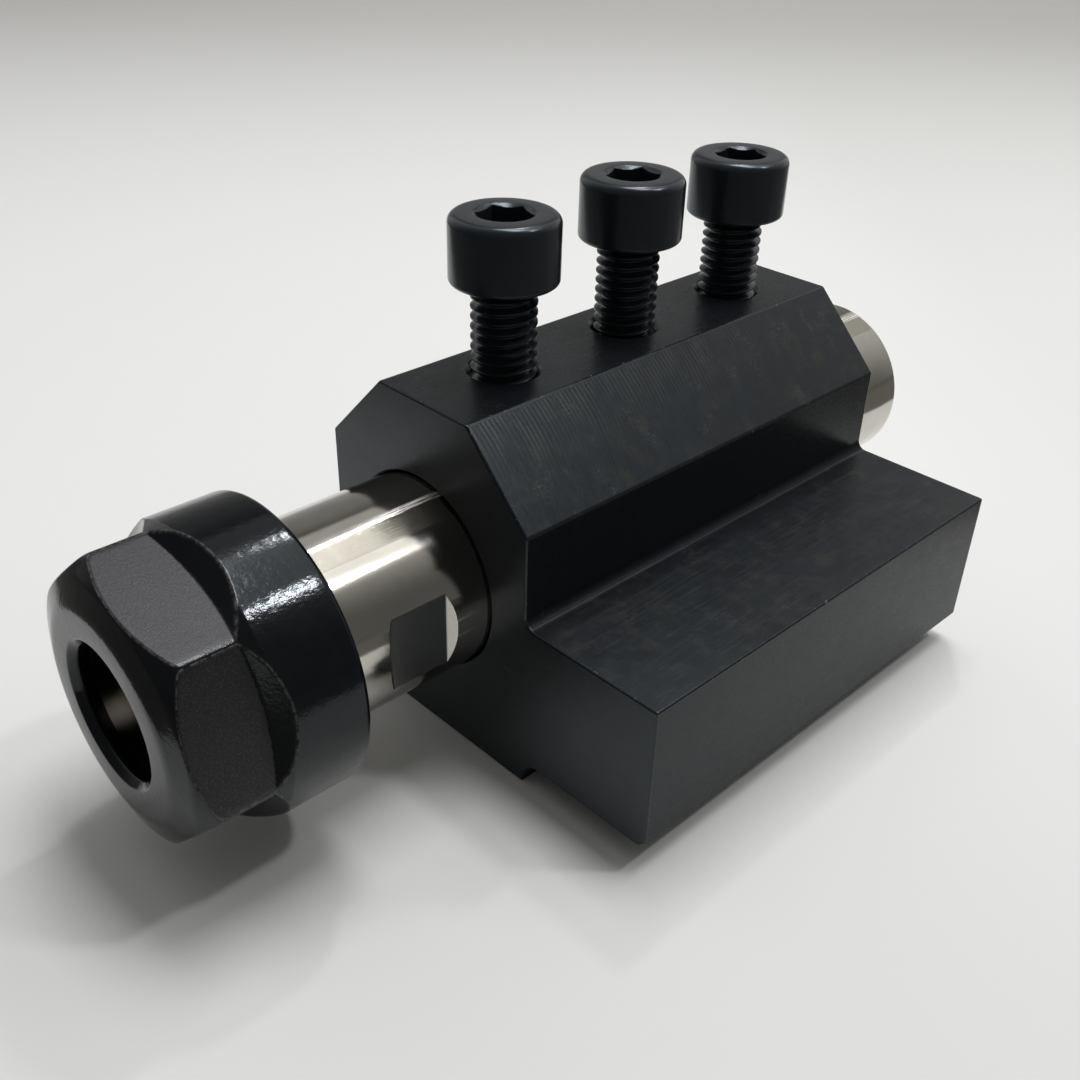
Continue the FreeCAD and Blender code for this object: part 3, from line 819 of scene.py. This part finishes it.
def screw_oxide(name):
    n = Nodes(name)
    cloud = n.noise(n.place, 0.3, 4, 0.6, 0.5)
    grain = n.noise(n.place, 7.0, 3, 0.6)
    drawn = n.noise(n.scaled(n.place, (4.0, 4.0, 0.35)), 1.0, 4, 0.6)
    clouds = n.math("MULTIPLY", n.step(cloud, 0.4, 0.7), 0.4)
    color = n.mix(clouds, (0.014, 0.0165, 0.020), (0.018, 0.021, 0.028))
    color = n.mix(n.math("MULTIPLY", n.step(grain, 0.66, 0.8), 0.3), color, (0.05, 0.048, 0.042))
    worked = n.math("ADD", n.math("MULTIPLY", cloud, 0.4), n.math("MULTIPLY", drawn, 0.6))
    roughness = n.between(worked, 0.14, 0.28)
    normal = n.bump(drawn, 0.003)
    normal = n.bump(grain, 0.003, normal)
    return n.finish(color, roughness, normal, 0.0, **{"Specular Tint": OXIDE_TINT})


# Where a lighter, rougher band of lengthwise lines lies on the shank beside its flat, in degrees from the top
PALE_BAND_ANGLES = (12.8, 17.9)


def ground_steel(name, lengthwise=False, rough=(0.07, 0.14), base=(0.56, 0.54, 0.50), depth=0.003,
                 pale_band=False):
    """Ground steel: fine marks round the bore's axis, or along it on a flat."""
    n = Nodes(name)
    radius, angle, along = n.around_bore()
    if lengthwise:
        marks = n.noise(n.scaled(n.place, (9.0, 0.25, 9.0)), 1.0, 4, 0.7)
    else:
        marks = n.noise(n.together(n.math("MULTIPLY", radius, 6.0), n.math("MULTIPLY", along, 9.0),
                                   n.math("MULTIPLY", angle, 1.2)), 1.0, 4, 0.7)
    cloud = n.noise(n.place, 0.22, 4, 0.6, 0.4)
    fine = n.noise(n.place, 12.0, 2, 0.5)
    clouds = n.math("MULTIPLY", n.step(cloud, 0.35, 0.75), 0.5)
    color = n.mix(clouds, base, tuple(c * 0.82 for c in base))
    color = n.mix(n.math("MULTIPLY", n.step(marks, 0.55, 0.8), 0.35), color, tuple(c * 0.7 for c in base))
    worked = n.math("ADD", n.math("MULTIPLY", marks, 0.6), n.math("MULTIPLY", cloud, 0.4))
    roughness = n.between(worked, *rough)
    normal = n.bump(marks, depth)
    normal = n.bump(fine, 0.001, normal)
    metallic = 1.0
    if pale_band:
        # A lighter, rougher, less metallic band of lengthwise lines beside the flat, fading out away from the
        # block.
        drawn = n.together(n.math("MULTIPLY", angle, 60.0), n.math("MULTIPLY", along, 0.12), 0.0)
        lines = n.noise(drawn, 1.0, 4, 0.7)
        upper, lower = (math.radians(90.0 - a) for a in PALE_BAND_ANGLES)
        inside = n.math("MULTIPLY", n.step(angle, upper, upper - 0.02),
                        n.step(angle, lower - 0.004, lower + 0.004))
        towards_block = n.step(along, BLOCK_FRONT - 19.0, BLOCK_FRONT - 3.0)
        inside = n.math("MULTIPLY", inside, towards_block)
        band_lines = n.math("MULTIPLY", inside, n.step(lines, 0.40, 0.62))
        color = n.mix(band_lines, color, (0.78, 0.76, 0.70))
        roughness = n.math("ADD", roughness, n.math("MULTIPLY", band_lines, 0.25))
        metallic = n.between(band_lines, 1.0, 0.35)
    return n.finish(color, roughness, normal, metallic)


# Upper edge of the cut corner, (x, z), from which the cutter's rows are measured
MILL_EDGE = (AXIS_X + LEDGE_SIDE - CORNER_CUT, AXIS_Z + TO_TOP)
block_materials = [
    oxide("block_end", lay=(0.6, 0.6, 2.2), lay_depth=0.003, mottle=0.12, rough=(0.26, 0.36),
          scratches=0.04, stains=0.8),
    oxide("block_top", lay=(1.4, 0.25, 1.4), lay_depth=0.004, mottle=0.2, rough=(0.24, 0.34)),
    oxide("block_cut_corner", lay=(0.3, 2.2, 0.3), lay_depth=0.004, mottle=0.8, rough=(0.24, 0.34),
          scratches=0.4, mill=(0.62, 0.007, 25.0, 0.6)),
    oxide("block_ledge_top", lay=(2.6, 0.1, 2.6), lay_depth=0.006, mottle=0.6, rough=(0.26, 0.38),
          scratches=0.2, streaks=0.35),
    oxide("block_side", lay=(1.0, 0.3, 1.0), lay_depth=0.003, mottle=0.1, rough=(0.24, 0.32),
          scratches=0.06, shine=0.2),
    oxide("block_base", lay=(1.0, 0.5, 1.0), lay_depth=0.004, mottle=0.3, rough=(0.28, 0.4)),
    oxide("block_bore", lay=(0.5, 4.0, 0.5), lay_depth=0.004, mottle=0.1, rough=(0.24, 0.36),
          base=OXIDE_DARK),
    oxide("block_edge", lay=(1.0, 1.0, 1.0), mottle=0.2, rough=(0.2, 0.3), nicks=0.6),
    oxide("block_root", lay=(1.0, 0.2, 1.0), lay_depth=0.004, mottle=0.2, rough=(0.36, 0.46),
          shine=0.14),
]
nut_materials = [
    turned_oxide("nut_turned"),
    oxide("nut_flat", lay=(5.5, 5.5, 5.5), lay_depth=0.012, mottle=0.1, rough=(0.34, 0.46),
          scratches=0.05, grain_depth=0.03, edges=0.4, speckle=0.35, tint=FLAT_TINT),
    turned_oxide("nut_inside", 0.22, 0.01, edges=0.0),
    ground_steel("nut_seat_cone", rough=(0.16, 0.26), base=(0.44, 0.42, 0.37)),
]
chuck_materials = [
    ground_steel("shank_ground", base=(0.56, 0.54, 0.485), pale_band=True),
    ground_steel("clamp_flat_ground", lengthwise=True, rough=(0.10, 0.2), base=(0.42, 0.40, 0.345),
                 depth=0.008),
    ground_steel("wrench_flat_milled", rough=(0.16, 0.28), base=(0.32, 0.32, 0.31)),
    ground_steel("socket_ground", rough=(0.2, 0.3), base=(0.60, 0.58, 0.54)),
    ground_steel("wrench_wall_milled", rough=(0.3, 0.4), base=(0.62, 0.6, 0.56)),
]
screw_material = screw_oxide("screw_oxide")


def dress(obj, materials):
    obj.data.materials.clear()
    for material in materials:
        obj.data.materials.append(material)


for obj, materials in ((block, block_materials), (nut, nut_materials), (chuck, chuck_materials)):
    kinds = np.zeros(len(obj.data.polygons), int)
    obj.data.polygons.foreach_get("material_index", kinds)
    dress(obj, materials)
    obj.data.polygons.foreach_set("material_index", kinds)
for obj in screws:
    dress(obj, [screw_material])

for obj, body, node, slot in (
    (block, "holder", "holder_body", "black_block"),
    (chuck, "chuck", "chuck_body", "ground_steel"),
    (nut, "nut", "clamping_nut", "black_nut"),
    *((obj, f"screw_{name}", f"clamp_screw_{name}", "black_screw")
      for obj, name in zip(screws, SCREW_NAMES)),
):
    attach(obj, body)
    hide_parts(node)


# Setting


def paper_material():
    """Pale paper with painted shade: darker towards the camera, on the right and far behind."""
    n = Nodes("backdrop_paper")
    x, y, _ = n.axes()
    heading, right = camera_ground_axes()
    rightward = n.math("ADD", n.math("MULTIPLY", x, right.x), n.math("MULTIPLY", y, right.y))
    away = n.math("ADD", n.math("MULTIPLY", x, heading.x), n.math("MULTIPLY", y, heading.y))
    # Painted shade: darker towards the camera and on the right.
    color = n.mix(n.step(away, -75.0, 40.0), (0.735, 0.74, 0.725), (0.83, 0.83, 0.825))
    color = n.mix(n.step(rightward, 20.0, 90.0), color, (0.775, 0.78, 0.765))
    # Painted shade far behind, where the sheet rises into the wall.
    color = n.mix(n.step(away, 150.0, 600.0), color, (0.66, 0.655, 0.64))
    return n.finish(color, 0.9, None, 0.0, **{"Specular IOR Level": 0.1})


# A dark table, put around the sheet as painted shade where the camera's side lies in shade.
def shade_table_material():
    n = Nodes("backdrop_shade_table")
    grain = n.noise(n.scaled(n.place, (0.02, 0.2, 0.1)), 1.0, 4)
    return n.finish(n.mix(grain, (0.10, 0.097, 0.09), (0.14, 0.135, 0.125)), 0.8, None, 0.0)


def camera_ground_axes():
    """Level directions away from the camera and to its right."""
    az = math.radians(CAMERA_AZIMUTH)
    return Vector((-math.sin(az), math.cos(az), 0)), Vector((math.cos(az), math.sin(az), 0))


def stage_mesh(name, verts, faces, material):
    mesh = bpy.data.meshes.new(name)
    mesh.from_pydata([tuple(v * MM) for v in verts], [], faces)
    mesh.polygons.foreach_set("use_smooth", [True] * len(mesh.polygons))
    obj = bpy.data.objects.new(name, mesh)
    bpy.context.scene.collection.objects.link(obj)
    obj.data.materials.append(material)


def make_backdrop():
    """A sheet that curves up into a wall far behind, only just wider than the view, on a dark table that
    stands in for the shade around the sheet on the camera's side.
    """
    heading, right = camera_ground_axes()
    line = [(PAPER_NEAR, 0.0), (550.0, 0.0)]
    bend_radius = 350.0
    for step in range(1, 13):
        a = math.radians(90 * step / 12)
        line.append((550 + bend_radius * math.sin(a), bend_radius * (1 - math.cos(a))))
    line.append((900.0, 1600.0))
    verts, faces = [], []
    for away, up in line:
        for edge, spread in (PAPER_LEFT, PAPER_RIGHT):
            side = edge + spread * (away - PAPER_NEAR)
            verts.append(heading * away + right * side + Vector((0, 0, up + FLOOR_Z)))
    for index in range(len(line) - 1):
        faces.append((2 * index, 2 * index + 1, 2 * index + 3, 2 * index + 2))
    stage_mesh("backdrop", verts, faces, paper_material())
    corners = [(-900.0, -900.0), (-900.0, 900.0), (1000.0, 900.0), (1000.0, -900.0)]
    table = [heading * away + right * side + Vector((0, 0, FLOOR_Z - 1.0)) for away, side in corners]
    stage_mesh("table", table, [(0, 3, 2, 1)], shade_table_material())


# Sheet: its near edge, then its left and right edges there and how they spread with distance
PAPER_NEAR = -76.0
PAPER_LEFT, PAPER_RIGHT = (-100.0, -0.44), (25.0, 0.385)
CAMERA_AZIMUTH, CAMERA_ELEVATION, CAMERA_ROLL = 45.4, 32.14, 1.61
CAMERA_PLACE = Vector((68.75, -109.18, 100.49)) * MM
FOCAL_PIXELS, PHOTO_PIXELS, SENSOR = 1194.19, 1080, 36.0


def make_camera():
    az, el, roll = (math.radians(a) for a in (CAMERA_AZIMUTH, CAMERA_ELEVATION, CAMERA_ROLL))
    back = Vector((math.sin(az) * math.cos(el), -math.cos(az) * math.cos(el), math.sin(el)))
    level = Vector((math.cos(az), math.sin(az), 0))
    rise = back.cross(level)
    right = math.cos(roll) * level + math.sin(roll) * rise
    up = -math.sin(roll) * level + math.cos(roll) * rise
    data = bpy.data.cameras.new("camera")
    data.sensor_fit = "HORIZONTAL"
    data.sensor_width = SENSOR
    data.lens = FOCAL_PIXELS / PHOTO_PIXELS * SENSOR
    data.clip_start, data.clip_end = 0.01, 10
    obj = bpy.data.objects.new("camera", data)
    obj.matrix_world = Matrix.Translation(CAMERA_PLACE) @ Matrix((right, up, back)).transposed().to_4x4()
    bpy.context.scene.collection.objects.link(obj)
    bpy.context.scene.camera = obj


OBJECT_MIDDLE = Vector((-28.0, -50.0, 25.0)) * MM


def area_light(name, direction, distance, size, radiance):
    """A soft box seen from the object in a direction, its second side as near along Y as it can be.

    distance and size are in metres.
    """
    z_axis = Vector(direction).normalized()
    y_axis = (Vector((0, 1, 0)) - z_axis * z_axis.y).normalized()
    data = bpy.data.lights.new(name, "AREA")
    data.shape = "RECTANGLE"
    data.size, data.size_y = size
    data.energy = radiance * math.pi * size[0] * size[1]
    obj = bpy.data.objects.new(name, data)
    turn = Matrix((y_axis.cross(z_axis), y_axis, z_axis)).transposed().to_4x4()
    obj.matrix_world = Matrix.Translation(OBJECT_MIDDLE + z_axis * distance) @ turn
    bpy.context.scene.collection.objects.link(obj)


def make_world(front, rear, towards):
    """Even light, dimmer from the camera's side than from the side towards."""
    world = bpy.data.worlds.new("studio")
    world.use_nodes = True
    tree = world.node_tree
    background = tree.nodes["Background"]
    direction = tree.nodes.new("ShaderNodeTexCoord").outputs["Generated"]
    facing = tree.nodes.new("ShaderNodeVectorMath")
    facing.operation = "DOT_PRODUCT"
    tree.links.new(direction, facing.inputs[0])
    facing.inputs[1].default_value = Vector(towards).normalized()
    ramp = tree.nodes.new("ShaderNodeMapRange")
    ramp.interpolation_type = "SMOOTHSTEP"
    tree.links.new(facing.outputs["Value"], ramp.inputs["Value"])
    for socket, value in (("From Min", 0.0), ("From Max", 0.95), ("To Min", front), ("To Max", rear)):
        ramp.inputs[socket].default_value = value
    background.inputs["Color"].default_value = (1.0, 0.99, 0.97, 1)
    tree.links.new(ramp.outputs["Result"], background.inputs["Strength"])
    bpy.context.scene.world = world


make_backdrop()
make_camera()
area_light("overhead", (0.02, 0.21, 1.0), 0.9, (0.50, 0.24), 10.6)
area_light("rear_panel", (0.10, 0.50, 0.86), 0.85, (0.62, 0.32), 0.88)
area_light("left_panel", (-0.42, 0.50, 0.76), 0.86, (0.30, 0.34), 0.4)
area_light("right_lamp", (0.42, 0.41, 0.81), 0.8, (0.045, 0.07), 85.0)
area_light("left_lamp", (-0.24, 0.46, 0.855), 0.8, (0.035, 0.06), 85.0)
make_world(0.12, 0.68, (-0.55, 0.6, 0.58))
bpy.context.scene.view_settings.view_transform = "Standard"
